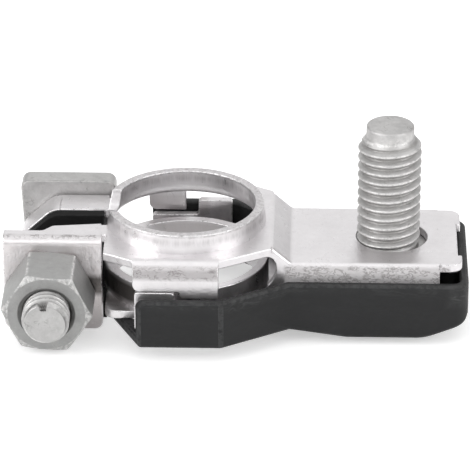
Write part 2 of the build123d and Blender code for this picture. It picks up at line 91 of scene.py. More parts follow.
# Links a finished mesh, lets it ride on its body and stand for its nodes.
def addObject(name, mesh, material, slot, body, *nodes):
    piece = bpy.data.objects.new(name, mesh)
    bpy.context.scene.collection.objects.link(piece)
    mesh.materials.clear()
    mesh.materials.append(material)
    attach(piece, body)
    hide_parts(*nodes)
    return piece


# Shader node groups. Each is built once and placed in the materials with its own values.
# mottleFiner and scratchPatchScale multiply the group's Scale, and between is the span of a
# noise that is spread out.
noises = {
    "mottleFiner": 5.3,
    "mottleShares": (0.65, 0.35),
    "mottleBetween": (0.35, 0.65),
    "scratchPatchScale": 0.6,
    "scratchPatchEdge": 12.0,
    "wornLitBetween": (0.38, 0.58),
}


def addNode(tree, kind, **values):
    node = tree.nodes.new(kind)
    for key, value in values.items():
        if hasattr(node, key) and key not in node.inputs:
            setattr(node, key, value)
        else:
            node.inputs[key].default_value = value
    return node


def makeGroup(name, inputs, outputs):
    group = bpy.data.node_groups.new(name, "ShaderNodeTree")
    for label, kind, value in inputs:
        socket = group.interface.new_socket(name=label, in_out="INPUT", socket_type=kind)
        if value is not None:
            socket.default_value = value
    for label, kind in outputs:
        group.interface.new_socket(name=label, in_out="OUTPUT", socket_type=kind)
    return group, group.nodes.new("NodeGroupInput"), group.nodes.new("NodeGroupOutput")


def mathNode(tree, operation, first, second=None, clamp=False):
    node = tree.nodes.new("ShaderNodeMath")
    node.operation = operation
    node.use_clamp = clamp
    for number, value in enumerate((first, second)):
        if value is None:
            continue
        if isinstance(value, (int, float)):
            node.inputs[number].default_value = value
        else:
            tree.links.new(value, node.inputs[number])
    return node.outputs[0]


def vectorMath(tree, operation, *values):
    node = tree.nodes.new("ShaderNodeVectorMath")
    node.operation = operation
    for number, value in enumerate(values):
        tree.links.new(value, node.inputs[number])
    return node.outputs[0]


# Adds up values, each with its own share
def weighted(tree, values, shares):
    total = None
    for value, share in zip(values, shares):
        part = mathNode(tree, "MULTIPLY", value, share)
        total = part if total is None else mathNode(tree, "ADD", total, part)
    return total


def greatest(tree, first, *others):
    for other in others:
        first = mathNode(tree, "MAXIMUM", first, other)
    return first


# Cloudy patches: two noises of different scale, mixed and spread between Low and High.
def makeMottleGroup():
    group, given, result = makeGroup(
        "cloudyMottle",
        [
            ("Vector", "NodeSocketVector", None),
            ("Scale", "NodeSocketFloat", 300.0),
            ("Low", "NodeSocketFloat", 0.0),
            ("High", "NodeSocketFloat", 1.0),
        ],
        [("Value", "NodeSocketFloat")],
    )
    coarse = addNode(group, "ShaderNodeTexNoise", Detail=4.0, Roughness=0.6)
    fine = addNode(group, "ShaderNodeTexNoise", Detail=3.0, Roughness=0.7)
    group.links.new(given.outputs["Vector"], coarse.inputs["Vector"])
    group.links.new(given.outputs["Vector"], fine.inputs["Vector"])
    group.links.new(given.outputs["Scale"], coarse.inputs["Scale"])
    finer = mathNode(group, "MULTIPLY", given.outputs["Scale"], noises["mottleFiner"])
    group.links.new(finer, fine.inputs["Scale"])
    values = coarse.outputs["Fac"], fine.outputs["Fac"]
    both = weighted(group, values, noises["mottleShares"])
    low, high = noises["mottleBetween"]
    spread = addNode(group, "ShaderNodeMapRange", **{"From Min": low, "From Max": high})
    group.links.new(both, spread.inputs["Value"])
    group.links.new(given.outputs["Low"], spread.inputs["To Min"])
    group.links.new(given.outputs["High"], spread.inputs["To Max"])
    group.links.new(spread.outputs["Result"], result.inputs["Value"])
    return group


# Thin marks: the zero line of a warped noise, kept only in patches of a second noise.
def makeScratchGroup():
    group, given, result = makeGroup(
        "fineScratches",
        [
            ("Vector", "NodeSocketVector", None),
            ("Scale", "NodeSocketFloat", 400.0),
            ("Width", "NodeSocketFloat", 0.02),
            ("Share", "NodeSocketFloat", 0.5),
        ],
        [("Mask", "NodeSocketFloat")],
    )
    lines = addNode(group, "ShaderNodeTexNoise", Detail=2.0, Roughness=0.6, Distortion=0.6)
    patches = addNode(group, "ShaderNodeTexNoise", Detail=2.0)
    group.links.new(given.outputs["Vector"], lines.inputs["Vector"])
    group.links.new(given.outputs["Scale"], lines.inputs["Scale"])
    group.links.new(given.outputs["Vector"], patches.inputs["Vector"])
    wide = mathNode(group, "MULTIPLY", given.outputs["Scale"], noises["scratchPatchScale"])
    group.links.new(wide, patches.inputs["Scale"])
    off = mathNode(group, "ABSOLUTE", mathNode(group, "SUBTRACT", lines.outputs["Fac"], 0.5))
    off = mathNode(group, "DIVIDE", off, given.outputs["Width"])
    thin = mathNode(group, "SUBTRACT", 1.0, off, clamp=True)
    bare = mathNode(group, "SUBTRACT", 1.0, given.outputs["Share"])
    patch = mathNode(group, "SUBTRACT", patches.outputs["Fac"], bare)
    patch = mathNode(group, "MULTIPLY", patch, noises["scratchPatchEdge"], clamp=True)
    group.links.new(mathNode(group, "MULTIPLY", thin, patch), result.inputs["Mask"])
    return group


# Worn edges, partly real wear and partly a painted edge highlight: the piece's own edge attribute,
# broken up by a noise.
def makeWornLitGroup():
    group, given, result = makeGroup(
        "wornAndLitEdges",
        [
            ("Vector", "NodeSocketVector", None),
            ("Scale", "NodeSocketFloat", 900.0),
            ("Amount", "NodeSocketFloat", 1.0),
        ],
        [("Mask", "NodeSocketFloat")],
    )
    edge = addNode(group, "ShaderNodeAttribute", attribute_name="edge")
    noise = addNode(group, "ShaderNodeTexNoise", Detail=3.0, Roughness=0.7)
    group.links.new(given.outputs["Vector"], noise.inputs["Vector"])
    group.links.new(given.outputs["Scale"], noise.inputs["Scale"])
    low, high = noises["wornLitBetween"]
    broken = addNode(group, "ShaderNodeMapRange", **{"From Min": low, "From Max": high})
    group.links.new(noise.outputs["Fac"], broken.inputs["Value"])
    wornLit = mathNode(group, "MULTIPLY", edge.outputs["Fac"], broken.outputs["Result"])
    wornLit = mathNode(group, "MULTIPLY", wornLit, given.outputs["Amount"])
    group.links.new(wornLit, result.inputs["Mask"])
    return group


# A soft box around Centre, as wide as twice Half, that fades out over Soft.
def makeZoneGroup():
    group, given, result = makeGroup(
        "softZone",
        [
            ("Vector", "NodeSocketVector", None),
            ("Centre", "NodeSocketVector", (0.0, 0.0, 0.0)),
            ("Half", "NodeSocketVector", (0.001, 0.001, 0.001)),
            ("Soft", "NodeSocketFloat", 0.0005),
        ],
        [("Mask", "NodeSocketFloat")],
    )
    away = vectorMath(group, "SUBTRACT", given.outputs["Vector"], given.outputs["Centre"])
    away = vectorMath(group, "ABSOLUTE", away)
    inside = vectorMath(group, "SUBTRACT", given.outputs["Half"], away)
    split = group.nodes.new("ShaderNodeSeparateXYZ")
    group.links.new(inside, split.inputs[0])
    least = mathNode(group, "MINIMUM", split.outputs[0], split.outputs[1])
    least = mathNode(group, "MINIMUM", least, split.outputs[2])
    mask = mathNode(group, "DIVIDE", least, given.outputs["Soft"], clamp=True)
    group.links.new(mask, result.inputs["Mask"])
    return group


mottleGroup = makeMottleGroup()
scratchGroup = makeScratchGroup()
wornLitGroup = makeWornLitGroup()
zoneGroup = makeZoneGroup()


def placeGroup(tree, group, vector, **values):
    node = tree.nodes.new("ShaderNodeGroup")
    node.node_tree = group
    tree.links.new(vector, node.inputs["Vector"])
    for key, value in values.items():
        node.inputs[key].default_value = value
    return node.outputs[0]


def placeEach(tree, group, vector, look, names):
    return [placeGroup(tree, group, vector, **look[name]) for name in names.split()]


def stretched(tree, vector, scale):
    node = addNode(tree, "ShaderNodeMapping", Scale=scale)
    tree.links.new(vector, node.inputs["Vector"])
    return node.outputs["Vector"]


# Blends two colours, or a linked colour with a fixed one, by a mask.
def blendColor(tree, mask, first, second):
    node = tree.nodes.new("ShaderNodeMix")
    node.data_type = "RGBA"
    tree.links.new(mask, node.inputs["Factor"])
    for socket, value in ((node.inputs[6], first), (node.inputs[7], second)):
        if isinstance(value, tuple):
            socket.default_value = (*value, 1)
        else:
            tree.links.new(value, socket)
    return node.outputs[2]


def startMaterial(name, metallic, specular=0.5):
    material = bpy.data.materials.new(name)
    material.use_nodes = True
    tree = material.node_tree
    shader = tree.nodes["Principled BSDF"]
    shader.inputs["Metallic"].default_value = metallic
    shader.inputs["Specular IOR Level"].default_value = specular
    place = tree.nodes.new("ShaderNodeTexCoord").outputs["Object"]
    return material, tree, shader, place


def addBump(tree, shader, height, strength, distance):
    bump = addNode(tree, "ShaderNodeBump", Strength=strength, Distance=distance)
    tree.links.new(height, bump.inputs["Height"])
    tree.links.new(bump.outputs["Normal"], shader.inputs["Normal"])


# A zone is its centre, half its size and how far it fades out, in metres
def placeZone(tree, place, zone):
    centre, half, soft = zone
    return placeGroup(tree, zoneGroup, place, Centre=centre, Half=half, Soft=soft)


# Lays colours of a look over one another: a mask, how strongly it covers, and a colour's name
def layerColors(tree, color, look, layers):
    for mask, cover, name in layers:
        color = blendColor(tree, mathNode(tree, "MULTIPLY", mask, cover), color, look[name])
    return color


def addRoughness(tree, shader, value, limits):
    rough = addNode(tree, "ShaderNodeMapRange", **{"To Min": limits[0], "To Max": limits[1]})
    tree.links.new(value, rough.inputs["Value"])
    tree.links.new(rough.outputs["Result"], shader.inputs["Roughness"])


# Tin plating on pressed sheet: soft, slightly warm patches, fine marks, bright broken edges that
# are partly a painted edge highlight, crinkled plating where the sheet is bent, and painted shade
# on the lower neck, the back walls and low beside the nut, where there is also some patina. metal
# is how much it mirrors, flangeMatt how much less the tail's flange does. roughShares are of
# grains and streaks, heightShares of grains, streaks, patches and folds. cover is how strongly
# each mark lies over the plating.
tinLook = {
    "light": (0.83, 0.81, 0.82),
    "dark": (0.755, 0.735, 0.745),
    "mark": (0.24, 0.22, 0.22),
    "bend": (0.65, 0.63, 0.635),
    "stretched": (0.46, 0.44, 0.445),
    "shadeAndPits": (0.13, 0.12, 0.115),
    "warm": (0.74, 0.695, 0.69),
    "paintedShadeGrey": (0.42, 0.39, 0.385),
    "edge": (0.86, 0.85, 0.855),
    "metal": 0.92,
    "flangeMatt": 0.55,
    "rough": (0.24, 0.42),
    "roughShares": (0.4, 0.6),
    "heightShares": (0.2, 0.45, 1.2, 1.6),
    "bump": 0.45,
    "bumpHeight": 0.00006,
    "patches": {"Scale": 260.0},
    "grains": {"Scale": 2100.0},
    "streaks": {"Scale": 900.0},
    "folds": {"Scale": 1100.0},
    "clouds": {"Scale": 520.0, "Low": 0.1, "High": 0.75},
    "marks": {"Scale": 420.0, "Width": 0.012, "Share": 0.42},
    "crackles": {"Scale": 1500.0, "Width": 0.075, "Share": 0.60},
    "specks": {"Scale": 2600.0, "Width": 0.05, "Share": 0.5},
    "dots": {"Scale": 1900.0, "Width": 0.03, "Share": 0.36},
    "wornLit": {"Scale": 1500.0, "Amount": 0.9},
    "crinkle": (0.7, 1.0, 1.3),
    "upright": (1.0, 1.0, 0.1),
    "cover": {
        "streaks": 0.75,
        "marks": 0.25,
        "bends": 0.8,
        "wing": 0.75,
        "low": 0.7,
        "behind": 0.6,
        "rim": 0.55,
        "crackles": 0.75,
        "pits": 0.8,
        "dots": 0.35,
    },
}

tinZones = {
    # Crinkled: the front wing's bend, the tail's front flange and the front ear's bend
    "wing": ((-0.0008, -0.0134, -0.0038), (0.0060, 0.0014, 0.0010), 0.0006),
    "tail": ((0.0230, -0.0082, -0.0069), (0.0105, 0.0006, 0.0022), 0.0004),
    "ear": ((-0.0166, -0.0062, -0.0023), (0.0070, 0.0013, 0.0005), 0.0003),
    # Marked: the collar's rim, and the drawn metal just below it
    "rim": ((0.0, 0.0, 0.0), (0.012, 0.012, 0.00045), 0.0002),
    "cone": ((0.0, 0.0, -0.0010), (0.0125, 0.0125, 0.0007), 0.0006),
    # Warm: the front ear. Darker low down beside the nut: painted shade, partly a brownish patina
    "face": ((-0.0166, -0.0062, -0.0092), (0.0072, 0.0007, 0.0068), 0.0006),
    "low": ((-0.0100, -0.0062, -0.0150), (0.0042, 0.0025, 0.0085), 0.0020),
    # Painted shade: the lower neck's wall by the ears, darkest; the lower collar's back wall and
    # the back tabs, lighter
    "neck": ((-0.0098, -0.0068, -0.0090), (0.0050, 0.0062, 0.0017), 0.0008),
    "inner": ((0.0, 0.0091, -0.0095), (0.0075, 0.0013, 0.0026), 0.0010),
    "behind": ((-0.0020, 0.0128, -0.0071), (0.0048, 0.0013, 0.0024), 0.0008),
}


def makeTin(look, zones):
    material, tree, shader, place = startMaterial("tinPlating", look["metal"])
    cover = look["cover"]
    zone = {name: placeZone(tree, place, value) for name, value in zones.items()}
    patches, grains, clouds = placeEach(tree, mottleGroup, place, look, "patches grains clouds")
    marks, specks, dots = placeEach(tree, scratchGroup, place, look, "marks specks dots")
    crinkled = stretched(tree, place, look["crinkle"])
    crackles = placeGroup(tree, scratchGroup, crinkled, **look["crackles"])
    upright = stretched(tree, place, look["upright"])
    streaks = placeGroup(tree, mottleGroup, upright, **look["streaks"])
    wornLit = placeGroup(tree, wornLitGroup, place, **look["wornLit"])
    edges = addNode(tree, "ShaderNodeAttribute", attribute_name="edge").outputs["Fac"]

    bent = greatest(tree, zone["wing"], zone["tail"], zone["ear"])
    drawn = mathNode(tree, "SUBTRACT", 1.0, streaks, clamp=True)
    rubbed = mathNode(tree, "SUBTRACT", 1.0, grains, clamp=True)
    color = blendColor(tree, patches, look["dark"], look["light"])
    color = layerColors(
        tree,
        color,
        look,
        [
            (mathNode(tree, "MULTIPLY", zone["cone"], drawn), cover["streaks"], "stretched"),
            (marks, cover["marks"], "mark"),
            (bent, cover["bends"], "bend"),
            (zone["wing"], cover["wing"], "stretched"),
            (mathNode(tree, "MULTIPLY", zone["face"], clouds), 1.0, "warm"),
            # low down beside the nut: painted shade, partly a brownish patina
            (zone["low"], cover["low"], "paintedShadeGrey"),
            # painted shade on the lower neck's wall, under the plate
            (zone["neck"], 1.0, "shadeAndPits"),
            # painted shade on the lower collar's back wall and the back tabs
            (greatest(tree, zone["inner"], zone["behind"]), cover["behind"], "paintedShadeGrey"),
            (mathNode(tree, "MULTIPLY", zone["rim"], rubbed), cover["rim"], "mark"),
            # worn edges, lightened: partly real wear, partly a painted edge highlight
            (wornLit, 1.0, "edge"),
            (mathNode(tree, "MULTIPLY", bent, crackles), cover["crackles"], "mark"),
            (mathNode(tree, "MULTIPLY", edges, specks), cover["pits"], "shadeAndPits"),
            (dots, cover["dots"], "mark"),
        ],
    )
    tree.links.new(color, shader.inputs["Base Color"])
    # The crinkled flange scatters more light than it mirrors
    matt = mathNode(tree, "MULTIPLY", zone["tail"], look["flangeMatt"])
    tree.links.new(mathNode(tree, "SUBTRACT", look["metal"], matt), shader.inputs["Metallic"])
    uneven = weighted(tree, (grains, streaks), look["roughShares"])
    addRoughness(tree, shader, uneven, look["rough"])
    folds = placeGroup(tree, mottleGroup, crinkled, **look["folds"])
    folds = mathNode(tree, "MULTIPLY", greatest(tree, bent, zone["rim"]), folds)
    height = weighted(tree, (grains, streaks, patches, folds), look["heightShares"])
    addBump(tree, shader, height, look["bump"], look["bumpHeight"])
    return material


# Steel of the stud, the bolt and the nut: dull, grey, with a close grain
studLook = {
    "name": "plainStudSteel",
    "light": (0.67, 0.66, 0.655),
    "dark": (0.42, 0.415, 0.41),
    "edge": (0.80, 0.79, 0.78),
    "stainAndRootDark": (0.22, 0.21, 0.20),
    "stained": 0.62,
    "rough": (0.42, 0.60),
    "grain": 1300.0,
    "bump": 0.5,
    "metal": 0.95,
}
boltLook = {
    "name": "dullBoltSteel",
    "light": (0.59, 0.585, 0.58),
    "dark": (0.39, 0.385, 0.38),
    "edge": (0.76, 0.75, 0.74),
    "stainAndRootDark": (0.10, 0.095, 0.09),
    "stained": 0.42,
    "rough": (0.34, 0.52),
    "grain": 900.0,
    "bump": 0.5,
    "metal": 0.9,
}
nutLook = {
    "name": "greyNutSteel",
    "light": (0.40, 0.40, 0.395),
    "dark": (0.28, 0.28, 0.275),
    "edge": (0.80, 0.79, 0.78),
    "stainAndRootDark": (0.08, 0.078, 0.075),
    "stained": 0.12,
    "rough": (0.36, 0.52),
    "grain": 1100.0,
    "bump": 0.6,
    "metal": 0.45,
}
steelMarks = {
    "patches": {"Scale": 330.0},
    "marks": {"Scale": 600.0, "Width": 0.014, "Share": 0.4},
    "stains": {"Scale": 1000.0, "Width": 0.05, "Share": 0.42},
    "wornLit": {"Scale": 1800.0, "Amount": 0.85},
    "marked": 0.35,
    "rootDarkPatchy": 0.6,
    "rootDarkEven": 0.4,
    "colorShares": (0.55, 0.45),
    "heightShares": (0.6, 1.0),
    "bumpHeight": 0.00004,
}


def makeSteel(look, given):
    material, tree, shader, place = startMaterial(look["name"], look["metal"])
    patches = placeGroup(tree, mottleGroup, place, **given["patches"])
    grains = placeGroup(tree, mottleGroup, place, Scale=look["grain"])
    marks, stains = placeEach(tree, scratchGroup, place, given, "marks stains")
    wornLit = placeGroup(tree, wornLitGroup, place, **given["wornLit"])
    # Roots of threads carry the root attribute, and a darker colour
    root = addNode(tree, "ShaderNodeAttribute", attribute_name="root").outputs["Fac"]
    patchy = mathNode(tree, "MULTIPLY", grains, given["rootDarkPatchy"])
    patchy = mathNode(tree, "ADD", patchy, given["rootDarkEven"])
    cloud = weighted(tree, (patches, grains), given["colorShares"])
    color = blendColor(tree, cloud, look["dark"], look["light"])
    color = layerColors(
        tree,
        color,
        look,
        [
            (marks, given["marked"], "edge"),
            (stains, look["stained"], "stainAndRootDark"),
            # worn edges and crests, lightened: partly real wear, partly a painted highlight
            (wornLit, 1.0, "edge"),
            # darker in the thread roots, the bolt head's crease, the torn notch and the nut's bore
            (mathNode(tree, "MULTIPLY", root, patchy), 1.0, "stainAndRootDark"),
        ],
    )
    tree.links.new(color, shader.inputs["Base Color"])
    addRoughness(tree, shader, grains, look["rough"])
    height = weighted(tree, (grains, patches), given["heightShares"])
    addBump(tree, shader, height, look["bump"], given["bumpHeight"])
    return material


# Moulded black plastic: fine matt grain, dusty grey scuffs along the edges, partly a painted
# highlight
trayLook = {
    "name": "blackPlastic",
    "dark": (0.011, 0.0112, 0.0118),
    "light": (0.017, 0.0173, 0.018),
    "scuffAndHighlight": (0.072, 0.0725, 0.073),
    "specular": 0.3,
    "rough": (0.46, 0.62),
    "bump": 0.3,
}
# The spacer's copy of the black plastic is darker and matter: its darker colour is painted shade,
# deep between the ears
shadedSpacerLook = {
    "name": "shadedBlackSpacerPlastic",
    "dark": (0.007, 0.007, 0.007),
    "light": (0.011, 0.011, 0.011),
    "scuffAndHighlight": (0.03, 0.03, 0.03),
    "specular": 0.12,
    "rough": (0.6, 0.75),
    "bump": 0.3,
}
plasticMarks = {
    "patches": {"Scale": 180.0},
    "grains": {"Scale": 2400.0},
    "smears": {"Scale": 500.0, "Low": 0.0, "High": 0.35},
    "dust": {"Scale": 700.0, "Width": 0.09, "Share": 0.55},
    "dustStretch": (0.45, 0.45, 1.3),
    "rubbed": {"Scale": 1500.0, "Width": 0.06, "Share": 0.42},
    "rubbedStretch": (0.4, 0.4, 1.6),
    "wornLit": {"Scale": 1300.0, "Amount": 0.8},
    "wornLitCover": 0.55,
    "everywhere": 0.05,
    "lineCover": 0.6,
    "heightShares": (1.0, 2.0),
    "bumpHeight": 0.00003,
}
# How strongly a zone is lightened, and where: scuffs on the tray's top band and its front right
# corner, a painted highlight on the lip of its end wall, and scuffs with a painted highlight on
# its slanting wall
plasticZones = {
    "band": (0.35, ((0.013, 0.0, -0.0069), (0.03, 0.03, 0.0016), 0.0010)),
    "corner": (1.0, ((0.0347, -0.0080, -0.0080), (0.0022, 0.0030, 0.0022), 0.0012)),
    # painted highlight along the end wall's lip
    "lip": (1.0, ((0.0354, 0.0020, -0.0058), (0.0007, 0.0110, 0.0010), 0.0004)),
    # scuffs and a painted highlight along the slanting wall
    "slant": (0.7, ((0.0090, -0.0120, -0.0074), (0.0035, 0.0030, 0.0012), 0.0010)),
}


def makePlastic(look, given, zones):
    material, tree, shader, place = startMaterial(look["name"], 0.0, look["specular"])
    patches, grains, smears = placeEach(tree, mottleGroup, place, given, "patches grains smears")
    wornLit = placeGroup(tree, wornLitGroup, place, **given["wornLit"])
    dusty = stretched(tree, place, given["dustStretch"])
    drawn = stretched(tree, place, given["rubbedStretch"])
    dust = placeGroup(tree, scratchGroup, dusty, **given["dust"])
    rubbed = placeGroup(tree, scratchGroup, drawn, **given["rubbed"])
    scuffAndHighlightZones = []
    for share, zone in zones.values():
        scuffAndHighlightZones.append(mathNode(tree, "MULTIPLY", placeZone(tree, place, zone), share))
    where = greatest(tree, *scuffAndHighlightZones)
    lines = mathNode(tree, "ADD", where, given["everywhere"])
    lines = mathNode(tree, "MULTIPLY", lines, greatest(tree, dust, rubbed))
    lines = mathNode(tree, "MULTIPLY", lines, given["lineCover"])
    scuffsAndHighlights = greatest(tree, lines, mathNode(tree, "MULTIPLY", where, smears))
    color = blendColor(tree, patches, look["dark"], look["light"])
    # Scuffs, with a painted highlight where a zone says so, and worn edges, partly a painted
    # highlight
    layers = [(scuffsAndHighlights, 1.0, "scuffAndHighlight"), (wornLit, given["wornLitCover"], "scuffAndHighlight")]
    color = layerColors(tree, color, look, layers)
    tree.links.new(color, shader.inputs["Base Color"])
    addRoughness(tree, shader, patches, look["rough"])
    height = weighted(tree, (grains, patches), given["heightShares"])
    addBump(tree, shader, height, look["bump"], given["bumpHeight"])
    return material


tin = makeTin(tinLook, tinZones)
studSteel = makeSteel(studLook, steelMarks)
boltSteel = makeSteel(boltLook, steelMarks)
nutSteel = makeSteel(nutLook, steelMarks)
trayPlastic = makePlastic(trayLook, plasticMarks, plasticZones)
shadedSpacerPlastic = makePlastic(shadedSpacerLook, plasticMarks, plasticZones)
print("materials made")

# Pressed and moulded pieces: copies of the plain solids with their sharp edges rounded.
# round is the width of each rounding in millimetres, turn the least edge angle in degrees that
# gets one, and edges nearer the post's axis than bare millimetres stay sharp.
softPieces = {
    "upperPlate": {
        "node": "upper_clamp_plate",
        "round": 0.13,
        "turn": 32,
        "bare": 0,
        "slot": "tinned_plate",
        "look": tin,
    },
    "lowerPlate": {
        "node": "lower_clamp_plate",
        "round": 0.13,
        "turn": 32,
        "bare": 0,
        "slot": "tinned_plate",
        "look": tin,
    },
    "tray": {
        "node": "insulating_tray",
        "round": 0.36,
        "turn": 25,
        "bare": 11.7,
        "slot": "black_plastic",
        "look": trayPlastic,
    },
    "spacerBlock": {
        "node": "ear_spacer",
        "round": 0.12,
        "turn": 32,
        "bare": 0,
        "slot": "black_plastic",
        "look": shadedSpacerPlastic,
    },
}
# Points nearer than join become one, faces within flat degrees become one, and the rounded mesh
# is welded at weld; join and weld are in millimetres
softening = {
    "join": 0.0005,
    "flat": 0.3,
    "segments": 3,
    "weld": 0.001,
    "normalWeight": 60,
}


# Copies a node's mesh, joins its triangles into flat faces and rounds what is left sharp. The
# rounded faces carry the edge attribute that the group of worn edges and painted edge highlights
# reads.
def addSoftened(name, piece, given):
    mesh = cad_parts[piece["node"]].data.copy()
    mesh.name = name
    work = bmesh.new()
    work.from_mesh(mesh)
    bmesh.ops.remove_doubles(work, verts=work.verts, dist=given["join"] * mm)
    flat = np.radians(given["flat"])
    bmesh.ops.dissolve_limit(work, angle_limit=flat, verts=work.verts, edges=work.edges)
    weight = work.edges.layers.float.new("bevel_weight_edge")
    least = np.radians(piece["turn"])
    for edge in work.edges:
        if not edge.is_convex or edge.calc_face_angle(0) < least:
            continue
        reach = max(vertex.co.xy.length for vertex in edge.verts)
        edge[weight] = 1.0 if reach > piece["bare"] * mm else 0.0
    for face in work.faces:
        face.smooth = True
    work.to_mesh(mesh)
    work.free()
    mesh.set_sharp_from_angle(angle=least)
    draft = bpy.data.objects.new(name + "Draft", mesh)
    bpy.context.scene.collection.objects.link(draft)
    # Two slots, so that the rounded faces can be told from the rest
    mesh.materials.clear()
    mesh.materials.append(piece["look"])
    mesh.materials.append(piece["look"])
    bevel = draft.modifiers.new("round", "BEVEL")
    bevel.width = piece["round"] * mm
    bevel.segments = given["segments"]
    bevel.limit_method = "WEIGHT"
    bevel.use_clamp_overlap = False
    bevel.material = 1
    weld = draft.modifiers.new("weld", "WELD")
    weld.merge_threshold = given["weld"] * mm
    even = draft.modifiers.new("even", "WEIGHTED_NORMAL")
    even.keep_sharp = True
    even.weight = given["normalWeight"]
    graph = bpy.context.evaluated_depsgraph_get()
    finished = bpy.data.meshes.new_from_object(
        draft.evaluated_get(graph), preserve_all_data_layers=True, depsgraph=graph
    )
    bpy.data.objects.remove(draft)
    slots = np.zeros(len(finished.polygons), dtype=np.int32)
    finished.polygons.foreach_get("material_index", slots)
    edge = finished.attributes.new("edge", "FLOAT", "FACE")
    edge.data.foreach_set("value", slots.astype(np.float32))
    finished.polygons.foreach_set("material_index", np.zeros_like(slots))
    finished.name = name
    print(name, "faces", len(finished.polygons))
    return addObject(name, finished, piece["look"], piece["slot"], "clamp", piece["node"])


for name, piece in softPieces.items():
    addSoftened(name, piece, softening)
print("pressed and moulded pieces rounded")


# A closed mesh from a grid of points: rows along the profile, columns round the axis.
# With two poles the ends close in a fan each, without them the last row joins the first.
def closedSurface(name, grid, firstPole=None, lastPole=None, **marks):
    rows, columns = grid.shape[:2]
    points = grid.reshape(-1, 3)
    across = np.arange(columns)
    beside = (across + 1) % columns
    below = np.arange(rows if firstPole is None else rows - 1)[:, None]
    above = (below + 1) % rows
    low, high = below * columns, above * columns
    quads = np.stack([low + across, low + beside, high + beside, high + across], -1).reshape(-1, 4)
    corners = quads[:, [0, 1, 2, 0, 2, 3]].reshape(-1, 3)
    fans = np.zeros((0, 3), dtype=int)
    if firstPole is not None:
        points = np.vstack([points, firstPole, lastPole])
        pole = rows * columns
        top = pole - columns
        first = np.stack([np.full(columns, pole), beside, across], -1)
        last = np.stack([np.full(columns, pole + 1), top + across, top + beside], -1)
        fans = np.vstack([first, last])
        corners = np.vstack([corners, fans])
    a, b, c = points[corners[:, 0]], points[corners[:, 1]], points[corners[:, 2]]
    if np.einsum("ij,ij->i", a, np.cross(b, c)).sum() < 0:
        quads = quads[:, ::-1]
        fans = fans[:, ::-1]
    mesh = bpy.data.meshes.new(name)
    mesh.from_pydata((points * mm).tolist(), [], quads.tolist() + fans.tolist())
    mesh.polygons.foreach_set("use_smooth", np.ones(len(mesh.polygons), dtype=bool))
    for mark, values in marks.items():
        data = mesh.attributes.new(mark, "FLOAT", "POINT")
        padded = np.concatenate([values.reshape(-1), np.zeros(len(points) - values.size)])
        data.data.foreach_set("value", padded.astype(np.float32))
    mesh.update()
    print(name, "faces", len(mesh.polygons))
    return mesh


# A path through corners (a, b, radius, ...): each corner is replaced by a short curve, the
# parabola between its two tangent points, with a point just before and just after it. Extra
# values of a corner are repeated on its points.
def roundedPath(corners, steps=4, hold=0.04):
    corners = np.asarray(corners, dtype=float)
    places = corners[:, :2]
    parts = [corners[:1]]
    for number in range(1, len(corners) - 1):
        before, here, after = places[number - 1 : number + 2]
        radius = corners[number, 2]
        inward = (here - before) / np.linalg.norm(here - before)
        outward = (after - here) / np.linalg.norm(after - here)
        turn = np.arccos(np.clip(inward @ outward, -1, 1))
        reach = radius * np.tan(turn / 2)
        share = np.linspace(0, 1, steps)[:, None]
        start, end = here - inward * reach, here + outward * reach
        curve = (1 - share) ** 2 * start + 2 * share * (1 - share) * here + share**2 * end
        curve = np.vstack([start - inward * hold, curve, end + outward * hold])
        parts.append(np.hstack([curve, np.tile(corners[number, 2:], (len(curve), 1))]))
    parts.append(corners[-1:])
    return np.vstack(parts)


# How far a hexagon's edge is from its centre, over half its width across flats: one over the
# cosine of the angle from the nearest flat, and near a corner the far root of a circle of the
# rounding's radius that touches both flats.
def hexagonFactor(angle, flats, rounding):
    half = flats / 2
    flatAngle = (angle + np.pi / 6) % (np.pi / 3) - np.pi / 6
    cornerAngle = angle % (np.pi / 3) - np.pi / 6
    centre = (half - rounding) / np.cos(np.pi / 6)
    reach = np.arctan2(rounding / 2, centre + rounding * np.cos(np.pi / 6))
    inside = np.maximum(rounding**2 - (centre * np.sin(cornerAngle)) ** 2, 0)
    circle = centre * np.cos(cornerAngle) + np.sqrt(inside)
    return np.where(np.abs(cornerAngle) < reach, circle / half, 1 / np.cos(flatAngle))


# Angles round a hexagon, crowded at its corners: each side runs from corner to corner as the
# power of an even step.
def cornerColumns(perSide, power=2.2):
    even = np.linspace(-1, 1, perSide, endpoint=False)
    side = np.sign(even) * (1 - (1 - np.abs(even)) ** power) * np.pi / 6
    return (side[None, :] + np.arange(6)[:, None] * np.pi / 3).reshape(-1)


# How deep a V thread is cut at a place given in turns: nothing along the crest, full depth
# along the root, and a smooth slope between them.
def threadCut(turns, depth, crest, root):
    away = np.abs((turns + 0.5) % 1 - 0.5) * 2
    slope = np.clip((away - crest) / (1 - crest - root), 0, 1)
    return depth * slope * slope * (3 - 2 * slope) * 0.5 + depth * slope * 0.5


# Cable stud, an M8 thread with a dog point above, a hexagon head below the tail
studShape = {
    "x": 25.7,
    "headBottom": -11.05,
    "headTop": -5.75,
    "headFlats": 13.0,
    "headRound": 0.35,
    "headCornerRound": 0.3,
    "neckRadius": 3.8,
    "neckFootRound": 0.2,
    "neckTopRound": 0.1,
    "threadStart": -4.9,
    "radius": 4.0,
    "pitch": 1.25,
    "depth": 0.62,
    "crest": 0.10,
    "root": 0.12,
    "crestAt": 7.225,
    "coneStart": 8.3,
    "coneEnd": 9.5,
    "conePower": 0.85,
    "dogRadius": 3.0,
    "tip": 10.95,
    "tipRound": 0.35,
    "centreRadius": 0.4,
    "crestWornLit": 0.22,
    "rootFrom": 0.55,
    "rootGain": 1.6,
    "rowStep": 0.05,
    "sideColumns": 20,
}


